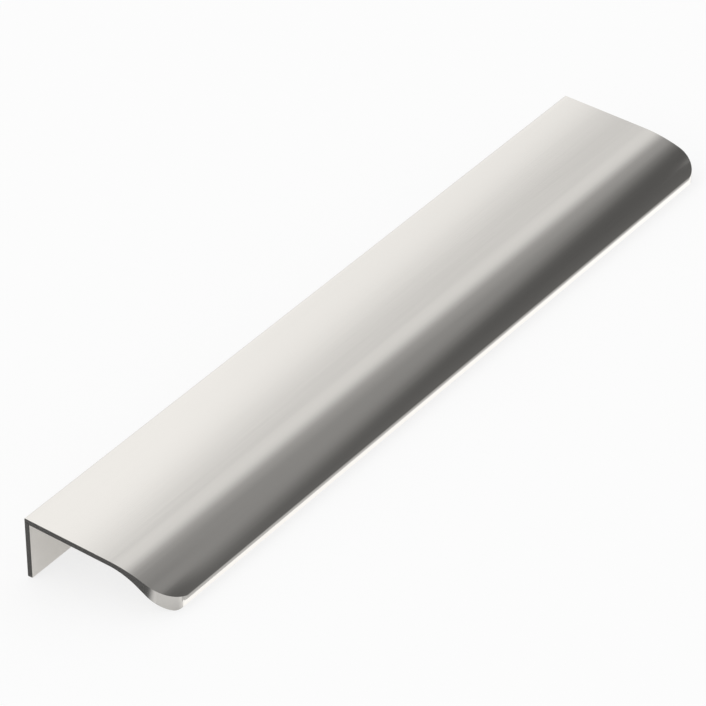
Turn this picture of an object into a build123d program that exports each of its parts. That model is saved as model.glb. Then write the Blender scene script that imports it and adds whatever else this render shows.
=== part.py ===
from build123d import *
import math
import os

# Edge pull for a cabinet door or drawer front: one length of extruded angle section.
# The flange is screwed to the back of the panel, the plate covers the panel's edge,
# and the thick lip bends down in front of it for the fingers.
# Millimetres. X runs along the pull, -Y is the front, +Z is up.

# Overall sizes; the depth is from the flange's back to the lip's front edge before it is rounded
pull_length = 200.0
pull_depth = 40.0
flange_height = 16.0
wall_thickness = 1.3

# Lip: behind this depth the plate is flat; in front of it the top bends down on one long arc,
# and the underside on a short arc and a straight slope, so the lip thickens towards its end face
bend_start = 23.0
top_bend_radius = 35.0
under_bend_radius = 16.0
under_slope_deg = 28.0
end_face_lean_deg = 12.0

# Rounded corners: in plan at the lip's two ends, then along the section's edges
plan_corner_radius = 7.0
lip_top_round = 0.5
lip_bottom_round = 0.9
edge_round = 0.2

# Two countersunk screw holes in the flange, in line along the pull, this far below the plate's top
screw_spacing = 160.0
screw_drop = 9.0
screw_hole_radius = 1.8
countersink_radius = 2.6
countersink_angle_deg = 90.0


def lip_section():
    """The section across the pull, in the plane of Y and Z, with the plate's top at Z 0."""
    top_bend_angle = math.degrees(math.asin((pull_depth - bend_start) / top_bend_radius))
    with BuildSketch(Plane.YZ) as section:
        with BuildLine():
            back = Line((0, -flange_height), (0, 0))
            top = Line(back @ 1, (-bend_start, 0))
            top_bend = JernArc(top @ 1, top % 1, top_bend_radius, top_bend_angle)
            end_ray = PolarLine(top_bend @ 1, flange_height, end_face_lean_deg - 90, mode=Mode.PRIVATE)
            foot = Line(back @ 0, (-wall_thickness, -flange_height))
            inside = Line(foot @ 1, (-wall_thickness, -wall_thickness))
            underside = Line(inside @ 1, (-bend_start, -wall_thickness))
            under_bend = JernArc(underside @ 1, underside % 1, under_bend_radius, under_slope_deg)
            lip_underside = IntersectingLine(under_bend @ 1, under_bend % 1, end_ray)
            Line(top_bend @ 1, lip_underside @ 1)
        make_face()
        for corner in (back @ 1, foot @ 0, foot @ 1):
            fillet(section.vertices().sort_by_distance(corner)[0], edge_round)
        fillet(section.vertices().sort_by_distance(top_bend @ 1)[0], lip_top_round)
        fillet(section.vertices().sort_by_distance(lip_underside @ 1)[0], lip_bottom_round)
    return section.sketch


def resting_tilt(section):
    """Degrees that the pull leans forward when it rests on its flange's edge and its lip.

    The floor touches two rounds, the flange's inner one and the lip's bottom one, so the lean is
    that of their common tangent.
    """
    arcs = section.edges().filter_by(GeomType.CIRCLE)
    flange_round = arcs.sort_by_distance((0, -wall_thickness, -flange_height))[0]
    front_arcs = [arc for arc in arcs if arc.arc_center.Y < -bend_start]
    lip_rounds = [arc for arc in front_arcs if math.isclose(arc.radius, lip_bottom_round)]
    lip_round = min(lip_rounds, key=lambda arc: arc.arc_center.Z)
    reach = flange_round.arc_center.Y - lip_round.arc_center.Y
    rise = lip_round.arc_center.Z - flange_round.arc_center.Z
    spread = math.hypot(reach, rise)
    return math.degrees(math.atan2(rise, reach) - math.asin((lip_bottom_round - edge_round) / spread))


def rounded_plan():
    """A block as long and deep as the pull, its two front corners rounded, that trims the section run."""
    plan = Pos(0, -pull_depth / 2) * Rectangle(pull_length, pull_depth)
    plan = fillet(plan.vertices().group_by(Axis.Y)[0], plan_corner_radius)
    return extrude(Pos(0, 0, -2 * flange_height) * plan, amount=3 * flange_height)


def screw_hole(x):
    """A countersunk hole through the flange, sunk from its back face."""
    sink_depth = (countersink_radius - screw_hole_radius) / math.tan(math.radians(countersink_angle_deg / 2))
    shank = Cylinder(screw_hole_radius, 4 * wall_thickness)
    sink = Pos(0, 0, -sink_depth / 2) * Cone(screw_hole_radius, countersink_radius, sink_depth)
    back_face = Plane(origin=(x, 0, -screw_drop), x_dir=(1, 0, 0), z_dir=(0, 1, 0))
    return back_face * (shank + sink)


def pull_profile(section):
    """The section run out to length, its front corners rounded in plan, its flange drilled."""
    run = extrude(Pos(-pull_length / 2, 0, 0) * section, amount=pull_length)
    pull = run & rounded_plan()
    for side in (-1, 1):
        pull -= screw_hole(side * screw_spacing / 2)
    return pull


section = lip_section()
tilt = resting_tilt(section)
resting = pull_profile(section).rotate(Axis.X, tilt)
box = resting.bounding_box()
resting = Pos(-box.center().X, -box.center().Y, -box.min.Z) * resting

os.makedirs("parts", exist_ok=True)
export_step(resting, "parts/pull_profile.step")
print(f"leans forward {tilt:.3f} degrees, box {box.size}, volume {resting.volume:.1f} mm3")
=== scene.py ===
"""A brushed metal edge pull for a cabinet front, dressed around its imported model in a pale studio."""

import math
from types import SimpleNamespace

import bmesh
import bpy
from bpy.props import FloatProperty, FloatVectorProperty, IntProperty, PointerProperty
from mathutils import Matrix, Vector


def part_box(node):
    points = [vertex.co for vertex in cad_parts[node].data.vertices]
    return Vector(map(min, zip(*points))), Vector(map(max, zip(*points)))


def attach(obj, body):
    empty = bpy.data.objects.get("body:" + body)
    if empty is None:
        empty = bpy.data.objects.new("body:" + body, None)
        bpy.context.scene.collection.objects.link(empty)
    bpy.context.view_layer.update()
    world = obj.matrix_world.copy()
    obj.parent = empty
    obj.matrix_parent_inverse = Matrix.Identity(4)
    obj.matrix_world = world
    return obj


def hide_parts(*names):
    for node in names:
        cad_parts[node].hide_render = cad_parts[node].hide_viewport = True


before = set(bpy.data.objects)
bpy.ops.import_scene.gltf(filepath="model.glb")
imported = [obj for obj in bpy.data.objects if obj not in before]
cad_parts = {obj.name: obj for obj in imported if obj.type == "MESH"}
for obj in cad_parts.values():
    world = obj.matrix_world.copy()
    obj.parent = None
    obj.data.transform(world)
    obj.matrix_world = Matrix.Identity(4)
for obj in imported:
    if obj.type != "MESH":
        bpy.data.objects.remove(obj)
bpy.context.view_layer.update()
node_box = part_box("pull_profile")

bl_info = {
    "name": "Edge Pull",
    "version": (1, 0, 0),
    "blender": (4, 5, 0),
    "location": "3D View > Sidebar > Edge Pull",
    "description": "Makes a brushed metal edge pull and the studio that it lies in",
    "category": "Object",
}

IMAGE_PIXELS = 706
SENSOR_WIDTH = 36.0

# How many parts each stretch of the section is divided into, from the flange's foot to the lip's nose
EDGE_ROUND_STEPS = 4
FLANGE_STEPS = 8
PLATE_STEPS = 10
TOP_BEND_STEPS = 58
CORNER_STEPS = 14
LIP_TOP_STEPS = 8
LIP_BOTTOM_STEPS = 14

# The corners' rounding in plan gets its own divisions past this turn, and closer ones are left out
CORNER_STEPS_FROM = math.radians(42)
CLOSEST_STEPS = 2e-5

# Points closer than this are one, a piece with fewer faces than this came out broken, and an edge that turns
# further than this stays sharp
MERGE_DISTANCE = 1e-7
FEWEST_FACES = 500
SHARP_ANGLE = math.radians(35)

# How far a face has to look along the pull to count as cut, and as a sawn end for the brushing map
CUT_FACING = 0.05
SAWN_FACING = 0.7

# Brushing: the broad strokes' size against the fine ones', the fine ones' share, the darkest stroke's tint,
# how much the roughness varies, and how strongly the strokes emboss the metal
BROAD_LENGTH = 4
BROAD_WIDTH = 12
FINE_SHARE = 0.7
STROKE_TINT = 0.96
STROKE_ROUGHNESS = 0.02
STROKE_BUMP = 0.10

# Cut metal: how dense the marks are, how far they show the bare metal, how much they roughen and emboss it,
# and how much rougher a milled wall is than a brushed face
MARK_SCALE = 6000.0
MARK_TINT = 0.12
MARK_ROUGHNESS = 0.03
MARK_BUMP = 0.08
MILLED_ROUGHNESS = 0.08

# Noise: how rough it is, the range that most of it falls in and how deep its bumps are; and the turn that
# lays the shader's anisotropy along the brushing
NOISE_ROUGHNESS = 0.6
NOISE_RANGE = (0.25, 0.75)
BUMP_DISTANCE = 0.00002
QUARTER_TURN = 0.25

# Flat sides of the light tent, how far the cards lie over the floor, and how far the white one stops in front
# of the line on which the lip rests
TENT_SIDES = 48
CARD_LIFT = 0.0002
CARD_GAP = 0.0006

# Painted shade on the end walls: how far in from the pull's ends the milled corners start, and where the
# painted shade on their walls fades out, as bright as the front
MILLED_SHADE_FROM = (0.00002, 0.0002)
PAINTED_SHADE_ENDS = (0.0030, 0.0048)


class PullSizes(bpy.types.PropertyGroup):
    """Sizes of the pull's section and of its outline in plan."""

    length: FloatProperty(
        name="Length", description="How long the pull is, end to end",
        default=node_box[1].x - node_box[0].x, subtype="DISTANCE", unit="LENGTH")
    depth: FloatProperty(
        name="Depth", description="From the flange's back to the lip's front edge before it is rounded",
        default=0.040, subtype="DISTANCE", unit="LENGTH")
    flange_height: FloatProperty(
        name="Flange Height", description="How far the flange stands down from the plate's top",
        default=0.016, subtype="DISTANCE", unit="LENGTH")
    wall: FloatProperty(
        name="Wall", description="Thickness of the flange and of the plate's flat part",
        default=0.0013, subtype="DISTANCE", unit="LENGTH")
    bend_start: FloatProperty(
        name="Bend Start", description="How far from the flange's back the lip starts to bend down",
        default=0.023, subtype="DISTANCE", unit="LENGTH")
    top_bend_radius: FloatProperty(
        name="Top Bend Radius", description="Radius of the lip's top",
        default=0.035, subtype="DISTANCE", unit="LENGTH")
    under_bend_radius: FloatProperty(
        name="Under Bend Radius", description="Radius of the bend under the lip",
        default=0.016, subtype="DISTANCE", unit="LENGTH")
    under_slope: FloatProperty(
        name="Under Slope", description="How steeply the lip's underside goes down",
        default=math.radians(28.0), subtype="ANGLE", unit="ROTATION")
    end_face_lean: FloatProperty(
        name="End Face Lean", description="How far the lip's end face leans back under it",
        default=math.radians(12.0), subtype="ANGLE", unit="ROTATION")
    corner_radius: FloatProperty(
        name="Corner Radius", description="Rounding of the two front corners, seen from above",
        default=0.007, subtype="DISTANCE", unit="LENGTH")
    lip_top_round: FloatProperty(
        name="Lip Top Round", description="Rounding along the lip's top front edge",
        default=0.0005, subtype="DISTANCE", unit="LENGTH")
    lip_bottom_round: FloatProperty(
        name="Lip Bottom Round", description="Rounding along the lip's bottom edge",
        default=0.0009, subtype="DISTANCE", unit="LENGTH")
    edge_round: FloatProperty(
        name="Edge Round", description="Rounding along the flange's outer edges",
        default=0.0002, subtype="DISTANCE", unit="LENGTH")


class ScrewHoles(bpy.types.PropertyGroup):
    """Sizes of the countersunk screw holes in the flange."""

    count: IntProperty(name="Count", description="Number of screw holes", default=2, min=1)
    spacing: FloatProperty(
        name="Spacing", description="Distance between the holes, centre to centre",
        default=0.160, subtype="DISTANCE", unit="LENGTH")
    drop: FloatProperty(
        name="Drop", description="How far the holes are below the plate's top",
        default=0.009, subtype="DISTANCE", unit="LENGTH")
    radius: FloatProperty(
        name="Radius", description="Radius of each hole",
        default=0.0018, subtype="DISTANCE", unit="LENGTH")
    sink_radius: FloatProperty(
        name="Sink Radius", description="Radius of each countersink at the flange's back",
        default=0.0026, subtype="DISTANCE", unit="LENGTH")
    sides: IntProperty(name="Sides", description="Flat sides that make each hole round", default=64, min=8)


class MetalFinish(bpy.types.PropertyGroup):
    """Colours and brushing of the metal."""

    metal: FloatVectorProperty(
        name="Metal", description="Colour of the brushed faces",
        default=(0.86, 0.835, 0.795), size=3, min=0.0, max=1.0, subtype="COLOR")
    # Painted shade: the sawn ends are given a darker metal colour than the brushed faces
    sawn_end_shade: FloatVectorProperty(
        name="Sawn Ends", description="Colour of the flat sawn ends",
        default=(0.66, 0.645, 0.62), size=3, min=0.0, max=1.0, subtype="COLOR")
    # Painted shade: the rounded corners' walls are given a darker metal colour than the brushed faces
    milled_shade: FloatVectorProperty(
        name="Milled Corners", description="Colour of the rounded corners' walls",
        default=(0.56, 0.545, 0.52), size=3, min=0.0, max=1.0, subtype="COLOR")
    roughness: FloatProperty(
        name="Roughness", description="Mean roughness of the brushed faces", default=0.13, min=0.0, max=1.0)
    end_roughness: FloatProperty(
        name="End Roughness", description="Mean roughness of the sawn ends", default=0.26, min=0.0, max=1.0)
    anisotropy: FloatProperty(
        name="Anisotropy", description="How much wider reflections spread across the brushing",
        default=0.35, min=0.0, max=1.0)
    grain_length: FloatProperty(
        name="Grain Length", description="Length of the brushing's strokes",
        default=0.030, subtype="DISTANCE", unit="LENGTH")
    grain_width: FloatProperty(
        name="Grain Width", description="Width of the brushing's strokes",
        default=0.00022, subtype="DISTANCE", unit="LENGTH")


class StudioLook(bpy.types.PropertyGroup):
    """Camera, floor and light."""

    camera_place: FloatVectorProperty(
        name="Camera Place",
        description="Where the camera is, with the plate level and its back edge at zero",
        default=(-0.57698, -0.44726, 0.54238), size=3, subtype="TRANSLATION", unit="LENGTH")
    camera_azimuth: FloatProperty(
        name="Camera Azimuth", description="Turn of the camera to the left of the pull's front",
        default=math.radians(-52.918), subtype="ANGLE", unit="ROTATION")
    camera_elevation: FloatProperty(
        name="Camera Elevation", description="How far down the camera looks on the level plate",
        default=math.radians(37.481), subtype="ANGLE", unit="ROTATION")
    focal_pixels: FloatProperty(
        name="Focal Length in Pixels", description="The camera's focal length, in the image's pixels",
        default=4017.96, min=1.0)
    backdrop: FloatProperty(
        name="Backdrop", description="Brightness of the floor and backdrop, where 1 is white",
        default=0.975, min=0.0, max=1.0)
    shadow_share: FloatProperty(
        name="Shadow Share", description="How much of the floor's own light and shadow the camera sees",
        default=0.22, min=0.0, max=1.0, subtype="FACTOR")
    reflected_share: FloatProperty(
        name="Reflected Shadow Share",
        description="How much of the floor's own light and shadow the metal shows",
        default=0.6, min=0.0, max=1.0, subtype="FACTOR")
    floor_size: FloatProperty(
        name="Floor Size", description="Width of the floor", default=8.0, subtype="DISTANCE", unit="LENGTH")
    tent_radius: FloatProperty(
        name="Tent Radius", description="Radius of the half round light tent over the pull",
        default=0.15, subtype="DISTANCE", unit="LENGTH")
    tent_length: FloatProperty(
        name="Tent Length", description="Length of the light tent",
        default=1.2, subtype="DISTANCE", unit="LENGTH")
    card_width: FloatProperty(
        name="End Card Width", description="How far the dark card beside each end reaches along the pull",
        default=0.060, subtype="DISTANCE", unit="LENGTH")
    card_front: FloatProperty(
        name="End Card Front", description="Where the dark card's front edge is, seen from the box's middle",
        default=-0.0152, subtype="DISTANCE", unit="LENGTH")
    card_fade: FloatProperty(
        name="End Card Fade", description="How far in from its front edge the dark card turns dark",
        default=0.0054, subtype="DISTANCE", unit="LENGTH")
    card_back: FloatProperty(
        name="End Card Back", description="Where the dark card's back edge is, seen from the box's middle",
        default=0.080, subtype="DISTANCE", unit="LENGTH")
    card_light: FloatProperty(
        name="End Card Light", description="Brightness of the dark cards", default=0.112, min=0.0, max=1.0)
    white_card_inset: FloatProperty(
        name="White Card Inset", description="How far in from the near end the white card starts",
        default=0.0042, subtype="DISTANCE", unit="LENGTH")
    white_card_reach: FloatProperty(
        name="White Card Reach", description="How far the white card reaches out in front of the lip",
        default=0.0004, subtype="DISTANCE", unit="LENGTH")
    white_card_light: FloatProperty(
        name="White Card Light", description="Brightness of the white card along the front",
        default=1.15, min=0.0, max=2.0)
    grey_card_inset: FloatProperty(
        name="Grey Card Inset", description="How far in from the near end the grey card starts",
        default=0.0039, subtype="DISTANCE", unit="LENGTH")
    grey_card_light: FloatProperty(
        name="Grey Card Light", description="Brightness of the grey card in front of the white one",
        default=0.52, min=0.0, max=1.0)


def point(depth, height):
    """A point of the section, by its depth from the flange's back and its height over the plate's top."""
    return Vector((depth, height))


def lip_rounds(s):
    """Centres and tangent points of the section's arcs, all with the plate level."""
    top_angle = math.asin((s.depth - s.bend_start) / s.top_bend_radius)
    top_centre = point(s.bend_start, -s.top_bend_radius)
    front_edge = top_centre + s.top_bend_radius * point(math.sin(top_angle), math.cos(top_angle))
    face_down = point(-math.sin(s.end_face_lean), -math.cos(s.end_face_lean))
    face_inward = point(-math.cos(s.end_face_lean), math.sin(s.end_face_lean))

    start = front_edge + s.lip_top_round * face_inward - top_centre
    along = start.dot(face_down)
    gap = start.length_squared - (s.top_bend_radius - s.lip_top_round) ** 2
    slide = -along - math.sqrt(along ** 2 - gap)
    if slide < 0:
        slide = -along + math.sqrt(along ** 2 - gap)
    lip_top = top_centre + start + slide * face_down

    under_centre = point(s.bend_start, -s.wall - s.under_bend_radius)
    under_end = under_centre + s.under_bend_radius * point(math.sin(s.under_slope), math.cos(s.under_slope))
    under_inward = point(math.sin(s.under_slope), math.cos(s.under_slope))
    offsets = Vector((
        front_edge.dot(face_inward) + s.lip_bottom_round,
        under_end.dot(under_inward) + s.lip_bottom_round,
    ))
    lip_bottom = Matrix((face_inward, under_inward)).inverted() @ offsets
    return SimpleNamespace(
        top_centre=top_centre,
        lip_top=lip_top,
        under_centre=under_centre,
        under_end=under_end,
        lip_bottom=lip_bottom,
        top_ends=s.bend_start + (lip_top.x - s.bend_start) * s.top_bend_radius
        / (s.top_bend_radius - s.lip_top_round),
        under_ends=lip_bottom.x - s.lip_bottom_round * math.sin(s.under_slope),
        face_starts=lip_bottom.x + s.lip_bottom_round * math.cos(s.end_face_lean),
        face_ends=lip_top.x + s.lip_top_round * math.cos(s.end_face_lean),
        nose=lip_top.x + s.lip_top_round,
    )


def arc_height(centre, radius, depth, side):
    """Height of an arc at a depth, on its upper side (1) or its lower side (-1)."""
    return centre.y + side * math.sqrt(max(radius ** 2 - (depth - centre.x) ** 2, 0.0))


def upper_height(s, r, depth):
    """Height of the section's top at a depth."""
    if depth <= s.bend_start:
        return 0.0
    if depth <= r.top_ends:
        return arc_height(r.top_centre, s.top_bend_radius, depth, 1)
    return arc_height(r.lip_top, s.lip_top_round, depth, 1)


def lower_height(s, r, depth):
    """Height of the section's underside at a depth in front of the flange."""
    if depth <= s.bend_start:
        return -s.wall
    if depth <= r.under_end.x:
        return arc_height(r.under_centre, s.under_bend_radius, depth, 1)
    if depth <= r.under_ends:
        return r.under_end.y - (depth - r.under_end.x) * math.tan(s.under_slope)
    if depth <= r.face_starts:
        return arc_height(r.lip_bottom, s.lip_bottom_round, depth, -1)
    if depth <= r.face_ends:
        foot = r.lip_bottom.y - s.lip_bottom_round * math.sin(s.end_face_lean)
        return foot + (depth - r.face_starts) / math.tan(s.end_face_lean)
    return arc_height(r.lip_top, s.lip_top_round, depth, -1)


def steps(start, end, count):
    """Evenly spaced values from start to end, both included."""
    return [start + (end - start) * i / count for i in range(count + 1)]


def lip_depths(s, r):
    """Depths at which the plate and the lip are divided, closer together where the rounds are small."""
    bend = math.asin((r.top_ends - s.bend_start) / s.top_bend_radius)
    corner = s.depth - s.corner_radius
    nose_turn = math.asin((r.nose - corner) / s.corner_radius)
    depths = steps(s.wall, s.bend_start, PLATE_STEPS)
    face_turn = math.pi / 2 - s.end_face_lean
    arcs = (
        (s.bend_start, s.top_bend_radius, 0, bend, TOP_BEND_STEPS),
        (corner, s.corner_radius, CORNER_STEPS_FROM, nose_turn, CORNER_STEPS),
        (r.lip_top.x, s.lip_top_round, bend, math.pi / 2, LIP_TOP_STEPS),
        (r.lip_bottom.x, s.lip_bottom_round, -s.under_slope, face_turn, LIP_BOTTOM_STEPS),
    )
    for centre, radius, start, end, count in arcs:
        depths += [centre + radius * math.sin(a) for a in steps(start, end, count)]
    depths += [r.under_end.x, r.face_ends]
    kept = []
    for depth in sorted(depths):
        if not kept or depth - kept[-1] > CLOSEST_STEPS:
            kept.append(depth)
    kept[-1] = r.nose
    return kept


def section_pairs(s, r):
    """Pairs of points across the section's wall, from the flange's foot to the lip's nose."""
    pairs = []
    for a in steps(math.pi / 2, 0, EDGE_ROUND_STEPS):
        rise = s.edge_round * (1 - math.sin(a))
        inset = s.edge_round * (1 - math.cos(a))
        height = -s.flange_height + rise
        pairs.append((point(inset, height), point(s.wall - inset, height)))
    for height in steps(-s.flange_height + s.edge_round, -s.wall, FLANGE_STEPS)[1:]:
        pairs.append((point(0, height), point(s.wall, height)))
    inner = point(s.wall, -s.wall)
    for a in steps(0, math.pi / 2, EDGE_ROUND_STEPS):
        inset = s.edge_round * (1 - math.sin(a))
        drop = s.edge_round * (1 - math.cos(a))
        pairs.append((point(drop, -inset), inner))
    for depth in lip_depths(s, r):
        pairs.append((point(depth, upper_height(s, r, depth)), point(depth, lower_height(s, r, depth))))
    return pairs


def resting_tilt(s, r):
    """How far the pull leans forward when it rests on its flange's foot and on its lip."""
    reach = r.lip_bottom.x - (s.wall - s.edge_round)
    rise = r.lip_bottom.y - (s.edge_round - s.flange_height)
    spread = math.hypot(reach, rise)
    return math.atan2(rise, reach) - math.asin((s.lip_bottom_round - s.edge_round) / spread)


def resting_place(s, r, tilt):
    """Moves the level pull, its back top edge at zero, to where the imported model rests."""
    turn = Matrix.Rotation(tilt, 4, "X")
    outline = [turn @ Vector((0, -p.x, p.y)) for pair in section_pairs(s, r) for p in pair]
    back = max(p.y for p in outline)
    foot = min(p.z for p in outline)
    return Matrix.Translation((0, node_box[1].y - back, node_box[0].z - foot)) @ turn


def section_mesh(s, r):
    """The section as a flat strip of faces at x 0 that look along +X."""
    strip = bmesh.new()
    made = {}

    def vertex(p):
        key = (round(p.x, 8), round(p.y, 8))
        if key not in made:
            made[key] = strip.verts.new((0, -p.x, p.y))
        return made[key]

    pairs = [(vertex(outer), vertex(inner)) for outer, inner in section_pairs(s, r)]
    for (outer, inner), (next_outer, next_inner) in zip(pairs, pairs[1:]):
        ring = []
        for v in (outer, inner, next_inner, next_outer):
            if v not in ring:
                ring.append(v)
        if len(ring) > 2:
            strip.faces.new(ring)
    for face in strip.faces:
        face.normal_update()
        if face.normal.x < 0:
            face.normal_flip()
    mesh = bpy.data.meshes.new("pull_section")
    strip.to_mesh(mesh)
    strip.free()
    return mesh


def hole_tool(s, h):
    """The solid that one countersunk screw hole takes away, its axis along Y and the flange's back at y 0.

    The countersink is a right-angled cone, so it is as deep as it is wider than the hole.
    """
    overlap = s.wall / 4
    sink_depth = h.sink_radius - h.radius
    rings = (
        (h.sink_radius + overlap, overlap),
        (h.radius, -sink_depth),
        (h.radius, -s.wall - overlap),
    )
    tool = bmesh.new()
    loops = []
    for radius, y in rings:
        turns = [2 * math.pi * i / h.sides for i in range(h.sides)]
        loops.append([tool.verts.new((radius * math.cos(a), y, radius * math.sin(a))) for a in turns])
    for near, far in zip(loops, loops[1:]):
        for i in range(h.sides):
            j = (i + 1) % h.sides
            tool.faces.new((near[i], near[j], far[j], far[i]))
    tool.faces.new(loops[0])
    tool.faces.new(loops[-1])
    bmesh.ops.recalc_face_normals(tool, faces=tool.faces)
    mesh = bpy.data.meshes.new("hole_tool")
    tool.to_mesh(mesh)
    tool.free()
    return mesh


class Tree:
    """Small helper that adds nodes to a node tree and links them."""

    def __init__(self, tree):
        self.tree = tree

    def add(self, kind, inputs=None, **settings):
        """A node of a kind, its settings set, its inputs given values or linked to other sockets."""
        node = self.tree.nodes.new(kind)
        for name, value in settings.items():
            setattr(node, name, value)
        for key, value in (inputs or {}).items():
            if isinstance(value, bpy.types.NodeSocket):
                self.tree.links.new(value, node.inputs[key])
            else:
                node.inputs[key].default_value = value
        return node

    def math(self, operation, *values):
        """A Math node's result."""
        return self.add("ShaderNodeMath", dict(enumerate(values)), operation=operation).outputs[0]


def new_geometry_tree(name, inputs):
    """A Geometry Nodes tree with named inputs, each given as its name and socket type."""
    tree = bpy.data.node_groups.new(name, "GeometryNodeTree")
    tree.interface.new_socket("Geometry", in_out="INPUT", socket_type="NodeSocketGeometry")
    for label, kind in inputs:
        tree.interface.new_socket(label, in_out="INPUT", socket_type=kind)
    tree.interface.new_socket("Geometry", in_out="OUTPUT", socket_type="NodeSocketGeometry")
    return Tree(tree)


def run_tree():
    """Runs the section out along X, and rounds the two front corners in plan."""
    t = new_geometry_tree("Run Section", [
        ("Length", "NodeSocketFloat"), ("Depth", "NodeSocketFloat"), ("Corner Radius", "NodeSocketFloat"),
        ("Brushed Metal", "NodeSocketMaterial")])
    given = t.add("NodeGroupInput").outputs
    half = t.math("MULTIPLY", given["Length"], 0.5)
    start = t.add("ShaderNodeCombineXYZ", {"X": t.math("MULTIPLY", half, -1.0)})
    run = t.add("ShaderNodeCombineXYZ", {"X": given["Length"]})
    placed = t.add("GeometryNodeSetPosition", {"Geometry": given["Geometry"], "Offset": start.outputs[0]})
    solid = t.add("GeometryNodeExtrudeMesh", {
        "Mesh": placed.outputs[0], "Offset": run.outputs[0], "Offset Scale": 1.0, "Individual": False})
    near_end = t.add("GeometryNodeFlipFaces", {"Mesh": placed.outputs[0]})
    joined = t.add("GeometryNodeJoinGeometry")
    t.tree.links.new(near_end.outputs[0], joined.inputs[0])
    t.tree.links.new(solid.outputs[0], joined.inputs[0])
    closed = t.add("GeometryNodeMergeByDistance", {"Geometry": joined.outputs[0], "Distance": MERGE_DISTANCE})

    place = t.add("ShaderNodeSeparateXYZ", {"Vector": t.add("GeometryNodeInputPosition").outputs[0]})
    radius = given["Corner Radius"]
    centre = t.math("SUBTRACT", given["Depth"], radius)
    past = t.math("MAXIMUM", t.math("SUBTRACT", t.math("MULTIPLY", place.outputs["Y"], -1.0), centre), 0.0)
    left = t.math("SUBTRACT", t.math("POWER", radius, 2.0), t.math("POWER", past, 2.0))
    inset = t.math("SUBTRACT", radius, t.math("SQRT", left))
    share = t.math("SUBTRACT", 1.0, t.math("DIVIDE", inset, half))
    narrowed = t.add("ShaderNodeCombineXYZ", {
        "X": t.math("MULTIPLY", place.outputs["X"], share),
        "Y": place.outputs["Y"],
        "Z": place.outputs["Z"],
    })
    shaped = t.add("GeometryNodeSetPosition", {
        "Geometry": closed.outputs[0], "Position": narrowed.outputs[0]})
    whole = t.add("GeometryNodeRealizeInstances", {"Geometry": shaped.outputs[0]})
    brushed = t.add("GeometryNodeSetMaterial", {
        "Geometry": whole.outputs[0], "Material": given["Brushed Metal"]})
    t.add("NodeGroupOutput", {"Geometry": brushed.outputs[0]})
    return t.tree


def drill_tree():
    """Drills a row of screw holes, lays the pull in its resting place and gives its faces their metals."""
    t = new_geometry_tree("Drill And Finish", [
        ("Hole Tool", "NodeSocketObject"), ("Hole Count", "NodeSocketInt"),
        ("Hole Spacing", "NodeSocketFloat"), ("Hole Drop", "NodeSocketFloat"),
        ("Length", "NodeSocketFloat"), ("Corner Radius", "NodeSocketFloat"),
        ("Place", "NodeSocketVector"), ("Turn", "NodeSocketRotation"),
        ("Brushed Metal", "NodeSocketMaterial"), ("Cut Metal", "NodeSocketMaterial")])
    given = t.add("NodeGroupInput").outputs
    gaps = t.math("SUBTRACT", given["Hole Count"], 1.0)
    first = t.add("ShaderNodeCombineXYZ", {
        "X": t.math("MULTIPLY", t.math("MULTIPLY", gaps, given["Hole Spacing"]), -0.5),
        "Z": t.math("MULTIPLY", given["Hole Drop"], -1.0),
    })
    apart = t.add("ShaderNodeCombineXYZ", {"X": given["Hole Spacing"]})
    row = t.add("GeometryNodeMeshLine", {
        "Count": given["Hole Count"], "Start Location": first.outputs[0], "Offset": apart.outputs[0]},
        mode="OFFSET")
    tool = t.add("GeometryNodeObjectInfo", {"Object": given["Hole Tool"]})
    tools = t.add("GeometryNodeInstanceOnPoints", {
        "Points": row.outputs[0], "Instance": tool.outputs["Geometry"]})
    drilled = t.add("GeometryNodeMeshBoolean", {
        "Mesh 1": given["Geometry"],
        "Mesh 2": t.add("GeometryNodeRealizeInstances", {"Geometry": tools.outputs[0]}).outputs[0],
    }, operation="DIFFERENCE", solver="EXACT")

    facing = t.add("ShaderNodeSeparateXYZ", {"Vector": t.add("GeometryNodeInputNormal").outputs[0]})
    place = t.add("ShaderNodeSeparateXYZ", {"Vector": t.add("GeometryNodeInputPosition").outputs[0]})
    cut_from = t.math("SUBTRACT", t.math("MULTIPLY", given["Length"], 0.5), given["Corner Radius"])
    near_end = t.math("GREATER_THAN", t.math("ABSOLUTE", place.outputs["X"]), cut_from)
    turned = t.math("GREATER_THAN", t.math("ABSOLUTE", facing.outputs["X"]), CUT_FACING)
    cut = t.math("MULTIPLY", near_end, turned)
    kept = t.add("GeometryNodeStoreNamedAttribute", {
        "Geometry": drilled.outputs["Mesh"], "Name": "cut_end", "Value": cut},
        data_type="BOOLEAN", domain="FACE")
    laid = t.add("GeometryNodeTransform", {
        "Geometry": kept.outputs[0], "Translation": given["Place"], "Rotation": given["Turn"]})
    whole = t.add("GeometryNodeRealizeInstances", {"Geometry": laid.outputs[0]})
    brushed = t.add("GeometryNodeSetMaterial", {
        "Geometry": whole.outputs[0], "Material": given["Brushed Metal"]})
    end_face = t.add("GeometryNodeInputNamedAttribute", {"Name": "cut_end"}, data_type="BOOLEAN")
    finished = t.add("GeometryNodeSetMaterial", {
        "Geometry": brushed.outputs[0], "Selection": end_face.outputs["Attribute"],
        "Material": given["Cut Metal"]})
    t.add("NodeGroupOutput", {"Geometry": finished.outputs[0]})
    return t.tree


def add_geometry_modifier(piece, tree, values):
    """Puts a Geometry Nodes tree on a piece, its inputs set by their identifiers."""
    modifier = piece.modifiers.new(tree.name, "NODES")
    modifier.node_group = tree
    for item in tree.interface.items_tree:
        if item.in_out == "INPUT" and item.name in values:
            modifier[item.identifier] = values[item.name]
    return modifier


def make_plain(piece, mesh_name):
    """Turns a piece with modifiers into a plain mesh."""
    depsgraph = bpy.context.evaluated_depsgraph_get()
    evaluated = piece.evaluated_get(depsgraph)
    mesh = bpy.data.meshes.new_from_object(evaluated, preserve_all_data_layers=True, depsgraph=depsgraph)
    mesh.name = mesh_name
    piece.modifiers.clear()
    piece.data = mesh
    return mesh


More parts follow.
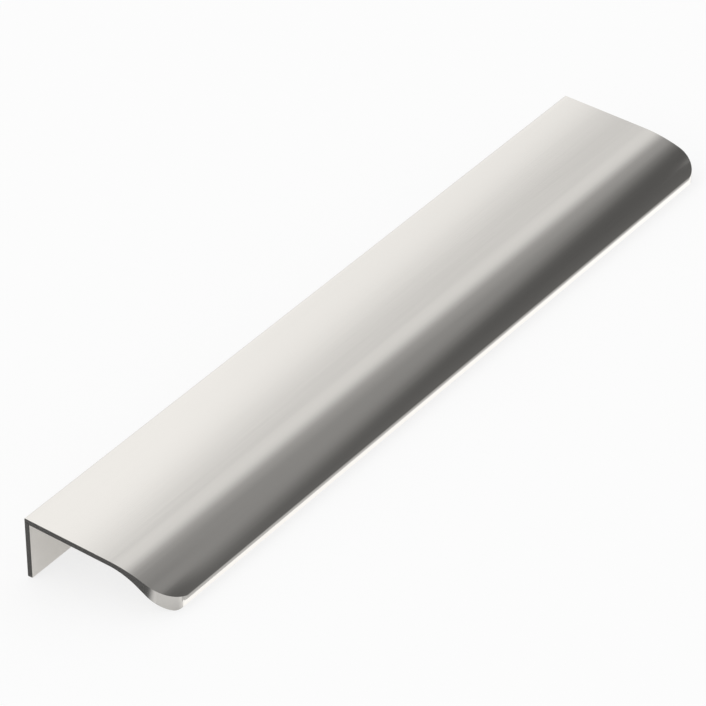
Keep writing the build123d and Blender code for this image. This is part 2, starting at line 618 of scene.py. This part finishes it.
def add_brushing_map(mesh):
    """A UV map whose first direction runs along the brushing, in metres."""
    layer = mesh.uv_layers.new(name="Brushing")
    for face in mesh.polygons:
        across = 1 if abs(face.normal.z) > abs(face.normal.y) else 2
        on_end = abs(face.normal.x) > SAWN_FACING
        for loop in face.loop_indices:
            place = mesh.vertices[mesh.loops[loop].vertex_index].co
            layer.data[loop].uv = (place.y, place.z) if on_end else (place.x, place[across])


def new_material(name):
    """An empty node material, with its tree helper and its Principled shader."""
    material = bpy.data.materials.new(name)
    material.use_nodes = True
    tree = Tree(material.node_tree)
    return material, tree, material.node_tree.nodes["Principled BSDF"]


def grain(t, length, width, detail):
    """Noise drawn out along X into strokes of a length and a width."""
    place = t.add("ShaderNodeTexCoord").outputs["Object"]
    stretched = t.add("ShaderNodeMapping", {
        "Vector": place, "Scale": (1 / length, 1 / width, 1 / width)})
    noise = t.add("ShaderNodeTexNoise", {
        "Vector": stretched.outputs[0], "Scale": 1.0, "Detail": detail, "Roughness": NOISE_ROUGHNESS})
    return noise.outputs["Fac"]


def spread(t, value, low, high):
    """Noise near 0.5 mapped to a range."""
    darkest, lightest = NOISE_RANGE
    return t.add("ShaderNodeMapRange", {
        "Value": value, "From Min": darkest, "From Max": lightest, "To Min": low, "To Max": high}).outputs[0]


def soft_edge(t, value, start, end, low, high):
    """A smooth change from low to high as a value goes from start to end."""
    return t.add("ShaderNodeMapRange", {
        "Value": value, "From Min": start, "From Max": end, "To Min": low, "To Max": high},
        interpolation_type="SMOOTHSTEP").outputs[0]


def brushed_metal(f):
    """Satin metal brushed along the pull."""
    material, t, shader = new_material("brushed_metal")
    fine = grain(t, f.grain_length, f.grain_width, 2.0)
    broad = grain(t, BROAD_LENGTH * f.grain_length, BROAD_WIDTH * f.grain_width, 1.0)
    both = t.math("ADD", t.math("MULTIPLY", fine, FINE_SHARE), t.math("MULTIPLY", broad, 1 - FINE_SHARE))
    dark = [STROKE_TINT * c for c in f.metal] + [1.0]
    tint = t.add("ShaderNodeMix", {
        "Factor": spread(t, both, 0.0, 1.0), "A": dark, "B": [*f.metal, 1.0]}, data_type="RGBA")
    t.tree.links.new(tint.outputs["Result"], shader.inputs["Base Color"])
    rough = spread(t, both, f.roughness - STROKE_ROUGHNESS, f.roughness + STROKE_ROUGHNESS)
    t.tree.links.new(rough, shader.inputs["Roughness"])
    bump = t.add("ShaderNodeBump", {"Height": fine, "Strength": STROKE_BUMP, "Distance": BUMP_DISTANCE})
    t.tree.links.new(bump.outputs[0], shader.inputs["Normal"])
    tangent = t.add("ShaderNodeTangent", direction_type="UV_MAP", uv_map="Brushing")
    t.tree.links.new(tangent.outputs[0], shader.inputs["Tangent"])
    shader.inputs["Metallic"].default_value = 1.0
    shader.inputs["Anisotropic"].default_value = f.anisotropy
    shader.inputs["Anisotropic Rotation"].default_value = QUARTER_TURN
    return material


def cut_metal_painted_shade(f, s):
    """The end walls: dull where sawn flat, smoother round the milled corners, with painted shade that is
    darkest on the sawn ends, lighter round the corners and gone at the front.
    """
    material, t, shader = new_material("cut_metal_painted_shade")
    place = t.add("ShaderNodeTexCoord").outputs["Object"]
    along = t.add("ShaderNodeSeparateXYZ", {"Vector": place}).outputs["X"]
    inset = t.math("SUBTRACT", s.length / 2, t.math("ABSOLUTE", along))
    # Painted shade: masks that take the end walls from the sawn ends' darker colour to the milled corners',
    # and back to the metal's towards the front; they also set the roughness
    milled_shade = soft_edge(t, inset, *MILLED_SHADE_FROM, 0.0, 1.0)
    bright = soft_edge(t, inset, *PAINTED_SHADE_ENDS, 0.0, 1.0)
    marks = t.add("ShaderNodeTexNoise", {
        "Vector": place, "Scale": MARK_SCALE, "Detail": 3.0, "Roughness": NOISE_ROUGHNESS}).outputs["Fac"]
    # Painted shade: the sawn ends and the milled corners' walls are coloured darker than the metal, and turn
    # back to the metal's colour towards the front
    painted_wall_shade = t.add("ShaderNodeMix", {
        "Factor": milled_shade, "A": [*f.sawn_end_shade, 1.0], "B": [*f.milled_shade, 1.0]}, data_type="RGBA")
    shade = t.add("ShaderNodeMix", {
        "Factor": bright, "A": painted_wall_shade.outputs["Result"], "B": [*f.metal, 1.0]}, data_type="RGBA")
    # Random cut marks show the bare metal's colour through the painted shade
    marked_shade = t.add("ShaderNodeMix", {
        "Factor": spread(t, marks, 0.0, MARK_TINT), "A": shade.outputs["Result"], "B": [*f.metal, 1.0]},
        data_type="RGBA")
    t.tree.links.new(marked_shade.outputs["Result"], shader.inputs["Base Color"])
    dull = t.add("ShaderNodeMix", {
        "Factor": milled_shade, "A": f.end_roughness, "B": f.roughness + MILLED_ROUGHNESS})
    rough = t.add("ShaderNodeMix", {"Factor": bright, "A": dull.outputs["Result"], "B": f.roughness})
    uneven = t.math("ADD", rough.outputs["Result"], spread(t, marks, -MARK_ROUGHNESS, MARK_ROUGHNESS))
    t.tree.links.new(uneven, shader.inputs["Roughness"])
    bump = t.add("ShaderNodeBump", {"Height": marks, "Strength": MARK_BUMP, "Distance": BUMP_DISTANCE})
    t.tree.links.new(bump.outputs[0], shader.inputs["Normal"])
    shader.inputs["Metallic"].default_value = 1.0
    return material


class EDGEPULL_OT_profile(bpy.types.Operator):
    """Make the pull: its section run out, its corners rounded and its flange drilled"""

    bl_idname = "edgepull.profile"
    bl_label = "Pull Profile"

    def execute(self, context):
        s = context.scene.edge_pull_sizes
        h = context.scene.edge_pull_holes
        f = context.scene.edge_pull_finish
        r = lip_rounds(s)
        tilt = resting_tilt(s, r)
        place = resting_place(s, r, tilt)

        tool = bpy.data.objects.new("hole_tool", hole_tool(s, h))
        piece = bpy.data.objects.new("pull_profile_brushed", section_mesh(s, r))
        context.scene.collection.objects.link(tool)
        context.scene.collection.objects.link(piece)
        metal = brushed_metal(f)
        add_geometry_modifier(piece, run_tree(), {
            "Length": s.length, "Depth": s.depth, "Corner Radius": s.corner_radius, "Brushed Metal": metal})
        add_geometry_modifier(piece, drill_tree(), {
            "Hole Tool": tool, "Hole Count": h.count, "Hole Spacing": h.spacing, "Hole Drop": h.drop,
            "Length": s.length, "Corner Radius": s.corner_radius,
            "Place": place.translation, "Turn": (tilt, 0.0, 0.0),
            "Brushed Metal": metal, "Cut Metal": cut_metal_painted_shade(f, s)})
        mesh = make_plain(piece, "pull_profile_brushed")
        bpy.data.objects.remove(tool)
        if len(mesh.polygons) < FEWEST_FACES:
            raise RuntimeError("the pull's mesh came out empty or broken")
        mesh.shade_smooth()
        mesh.set_sharp_from_angle(angle=SHARP_ANGLE)
        add_brushing_map(mesh)

        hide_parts("pull_profile")
        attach(piece, "root")
        return {"FINISHED"}


# Light on the inside of the tent, from the front over the top to the back. Each panel starts at an edge, and
# is given by the edge's angle above the front of the floor in degrees, how soft the edge is in degrees, how
# many degrees it slants for each metre along the pull, and how much light it adds past the edge, or takes
# away where that is negative. In order they are two fades from the bright front to the dim low wall, the low
# panel over the lip, a faint edge above it, the main panel, a dark seam, the top panel, its slight fall
# towards the back, a little more light over the near end, and the fade to the dark back.
TENT_BASE_LIGHT = 0.45
TENT_PANELS = (
    (25.0, 20.0, 0.0, -0.20),
    (42.0, 44.0, 0.0, -0.15),
    (57.0, 16.0, 98.0, 0.18),
    (84.0, 4.0, 0.0, 0.06),
    (93.5, 12.0, 11.0, 0.43),
    (108.0, 6.0, 15.0, -0.13),
    (113.0, 4.0, 15.0, 0.38),
    (118.0, 4.0, 0.0, -0.04),
    (109.0, 8.0, 150.0, 0.03),
    (150.0, 40.0, 0.0, -0.55),
)

# Patches over the lip's two ends. Each is given by the angles at which it starts, is full, begins to fade and
# is gone, the place along the pull where it's full, the place where it's gone, and the share of the light
# that it takes away, or adds where that is negative. They are a flag over the near end, a weaker one above
# it, and a thin strip of light past the far end.
TENT_PATCHES = (
    (49.0, 56.0, 62.5, 63.5, 0.000, 0.013, 0.48),
    (70.0, 73.0, 75.0, 79.0, 0.000, 0.030, 0.12),
    (60.8, 62.4, 62.4, 64.0, 0.238, 0.232, -4.80),
)


def make_tent(look):
    """A half round tent over the pull that only the metal's reflections see."""
    frame_mesh = bmesh.new()
    turns = steps(0, math.pi, TENT_SIDES)
    rows = []
    for x in (-look.tent_length / 2, look.tent_length / 2):
        rows.append([frame_mesh.verts.new((
            x, -look.tent_radius * math.cos(a), look.tent_radius * math.sin(a))) for a in turns])
    for i in range(TENT_SIDES):
        frame_mesh.faces.new((rows[0][i], rows[0][i + 1], rows[1][i + 1], rows[1][i]))
    mesh = bpy.data.meshes.new("light_tent")
    frame_mesh.to_mesh(mesh)
    frame_mesh.free()
    tent = bpy.data.objects.new("light_tent", mesh)

    material = bpy.data.materials.new("tent_light")
    material.use_nodes = True
    material.node_tree.nodes.clear()
    t = Tree(material.node_tree)
    place = t.add("ShaderNodeSeparateXYZ", {"Vector": t.add("ShaderNodeTexCoord").outputs["Object"]})
    turn = t.math("ARCTAN2", place.outputs["Z"], t.math("MULTIPLY", place.outputs["Y"], -1.0))
    angle = t.math("DEGREES", turn)
    light = TENT_BASE_LIGHT
    for edge, softness, slant, level in TENT_PANELS:
        slanted = t.math("SUBTRACT", angle, t.math("MULTIPLY", place.outputs["X"], slant))
        panel = soft_edge(t, slanted, edge - softness / 2, edge + softness / 2, 0.0, level)
        light = t.math("ADD", light, panel)
    for start, full, fading, gone, full_place, gone_place, share in TENT_PATCHES:
        band = t.math(
            "MULTIPLY",
            soft_edge(t, angle, start, full, 0.0, 1.0),
            soft_edge(t, angle, fading, gone, 1.0, 0.0))
        patch = t.math("MULTIPLY", band, soft_edge(t, place.outputs["X"], full_place, gone_place, share, 0.0))
        light = t.math("MULTIPLY", light, t.math("SUBTRACT", 1.0, patch))
    glow = t.add("ShaderNodeEmission", {"Color": (1.0, 1.0, 1.0, 1.0), "Strength": light})
    t.add("ShaderNodeOutputMaterial", {"Surface": glow.outputs[0]})
    mesh.materials.append(material)
    show_in_reflections_only(tent)
    return tent


def show_in_reflections_only(thing):
    """Hides a studio piece from everything but the metal's reflections."""
    thing.visible_camera = False
    thing.visible_diffuse = False
    thing.visible_transmission = False
    thing.visible_volume_scatter = False
    thing.visible_shadow = False


def make_card(name, low, high, light, fade=0.0):
    """A card lying on the floor between two corners, for the metal to reflect.

    With a fade, it's white along its front edge and reaches its own brightness that far in.
    """
    mesh = bpy.data.meshes.new(name)
    corners = [(low[0], low[1]), (high[0], low[1]), (high[0], high[1]), (low[0], high[1])]
    mesh.from_pydata([(x, y, CARD_LIFT) for x, y in corners], [], [(0, 1, 2, 3)])
    card = bpy.data.objects.new(name, mesh)
    material = bpy.data.materials.new(name)
    material.use_nodes = True
    material.node_tree.nodes.clear()
    t = Tree(material.node_tree)
    if fade:
        place = t.add("ShaderNodeSeparateXYZ", {"Vector": t.add("ShaderNodeTexCoord").outputs["Object"]})
        light = soft_edge(t, place.outputs["Y"], low[1], low[1] + fade, 1.0, light)
    glow = t.add("ShaderNodeEmission", {"Color": (1.0, 1.0, 1.0, 1.0), "Strength": light})
    t.add("ShaderNodeOutputMaterial", {"Surface": glow.outputs[0]})
    mesh.materials.append(material)
    show_in_reflections_only(card)
    return card


def make_cards(look, r, place):
    """A dark card beside each sawn end, and a white and a grey one along the lip's front."""
    end = node_box[1].x
    past_end = end + look.card_width
    front = node_box[0].y
    under_lip = (place @ Vector((0, -r.lip_bottom.x, r.lip_bottom.y))).y - CARD_GAP
    return (
        make_card(
            "left_card", (-past_end, look.card_front), (-end, look.card_back),
            look.card_light, look.card_fade),
        make_card(
            "right_card", (end, look.card_front), (past_end, look.card_back),
            look.card_light, look.card_fade),
        make_card(
            "white_card", (look.white_card_inset - end, front - look.white_card_reach), (past_end, under_lip),
            look.white_card_light),
        make_card(
            "grey_card", (look.grey_card_inset - end, -look.tent_radius),
            (past_end, front - look.white_card_reach), look.grey_card_light),
    )


def seen_directly(t):
    """1 for light that reaches the camera straight, by reflection or through glass, otherwise 0."""
    path = t.add("ShaderNodeLightPath").outputs
    seen = t.math("MAXIMUM", path["Is Camera Ray"], path["Is Glossy Ray"])
    return t.math("MAXIMUM", seen, path["Is Transmission Ray"])


def make_floor(look):
    """A plain pale floor that keeps part of the pull's shadow."""
    half = look.floor_size / 2
    mesh = bpy.data.meshes.new("floor")
    corners = [(-half, -half, 0), (half, -half, 0), (half, half, 0), (-half, half, 0)]
    mesh.from_pydata(corners, [], [(0, 1, 2, 3)])
    floor = bpy.data.objects.new("floor", mesh)
    material = bpy.data.materials.new("pale_floor")
    material.use_nodes = True
    material.node_tree.nodes.clear()
    t = Tree(material.node_tree)
    white = (look.backdrop, look.backdrop, look.backdrop, 1.0)
    paper = t.add("ShaderNodeBsdfDiffuse", {"Color": white})
    plain = t.add("ShaderNodeEmission", {"Color": white, "Strength": 1.0})
    path = t.add("ShaderNodeLightPath").outputs
    mirrored = t.math("MAXIMUM", path["Is Glossy Ray"], path["Is Transmission Ray"])
    share = t.math(
        "ADD",
        t.math("MULTIPLY", path["Is Camera Ray"], 1 - look.shadow_share),
        t.math("MULTIPLY", mirrored, 1 - look.reflected_share))
    both = t.add("ShaderNodeMixShader", {0: share, 1: paper.outputs[0], 2: plain.outputs[0]})
    t.add("ShaderNodeOutputMaterial", {"Surface": both.outputs[0]})
    mesh.materials.append(material)
    return floor


def make_world(look):
    """An even pale backdrop that also gives the floor its soft light."""
    world = bpy.data.worlds.new("studio")
    world.use_nodes = True
    world.node_tree.nodes.clear()
    t = Tree(world.node_tree)
    white = (look.backdrop, look.backdrop, look.backdrop, 1.0)
    seen = t.add("ShaderNodeBackground", {"Color": white, "Strength": 1.0})
    soft = t.add("ShaderNodeBackground", {"Color": (1.0, 1.0, 1.0, 1.0), "Strength": 1.0})
    both = t.add("ShaderNodeMixShader", {0: seen_directly(t), 1: soft.outputs[0], 2: seen.outputs[0]})
    t.add("ShaderNodeOutputWorld", {"Surface": both.outputs[0]})
    return world


def make_camera(look, place):
    """The camera, set up for the level plate and then leant forward with the pull."""
    data = bpy.data.cameras.new("camera")
    data.sensor_width = SENSOR_WIDTH
    data.lens = SENSOR_WIDTH * look.focal_pixels / IMAGE_PIXELS
    camera = bpy.data.objects.new("camera", data)
    turn = Matrix.Rotation(look.camera_azimuth, 4, "Z")
    tip = Matrix.Rotation(math.pi / 2 - look.camera_elevation, 4, "X")
    camera.matrix_world = place @ Matrix.Translation(look.camera_place) @ turn @ tip
    return camera


class EDGEPULL_OT_stage(bpy.types.Operator):
    """Make the floor, the backdrop, the light and the camera"""

    bl_idname = "edgepull.stage"
    bl_label = "Studio Stage"

    def execute(self, context):
        scene = context.scene
        s = scene.edge_pull_sizes
        look = scene.edge_pull_studio
        r = lip_rounds(s)
        place = resting_place(s, r, resting_tilt(s, r))
        floor = make_floor(look)
        tent = make_tent(look)
        cards = make_cards(look, r, place)
        camera = make_camera(look, place)
        for thing in (floor, tent, *cards, camera):
            scene.collection.objects.link(thing)
        scene.camera = camera
        scene.world = make_world(look)
        scene.view_settings.view_transform = "Standard"
        return {"FINISHED"}


class EDGEPULL_PT_panel(bpy.types.Panel):
    """Lists the pull's sizes, its finish and the steps that make it"""

    bl_idname = "EDGEPULL_PT_panel"
    bl_label = "Edge Pull"
    bl_space_type = "VIEW_3D"
    bl_region_type = "UI"
    bl_category = "Edge Pull"

    def draw(self, context):
        scene = context.scene
        groups = (
            scene.edge_pull_sizes, scene.edge_pull_holes, scene.edge_pull_finish, scene.edge_pull_studio)
        for group in groups:
            box = self.layout.box()
            for name in group.__annotations__:
                box.prop(group, name)
        self.layout.operator(EDGEPULL_OT_profile.bl_idname)
        self.layout.operator(EDGEPULL_OT_stage.bl_idname)


CLASSES = (
    PullSizes,
    ScrewHoles,
    MetalFinish,
    StudioLook,
    EDGEPULL_OT_profile,
    EDGEPULL_OT_stage,
    EDGEPULL_PT_panel,
)


def register():
    for cls in CLASSES:
        bpy.utils.register_class(cls)
    bpy.types.Scene.edge_pull_sizes = PointerProperty(type=PullSizes)
    bpy.types.Scene.edge_pull_holes = PointerProperty(type=ScrewHoles)
    bpy.types.Scene.edge_pull_finish = PointerProperty(type=MetalFinish)
    bpy.types.Scene.edge_pull_studio = PointerProperty(type=StudioLook)


def unregister():
    del bpy.types.Scene.edge_pull_studio
    del bpy.types.Scene.edge_pull_finish
    del bpy.types.Scene.edge_pull_holes
    del bpy.types.Scene.edge_pull_sizes
    for cls in reversed(CLASSES):
        bpy.utils.unregister_class(cls)


def main():
    """Makes the pull and its stage."""
    register()
    bpy.ops.edgepull.profile()
    bpy.ops.edgepull.stage()


if __name__ == "__main__":
    main()
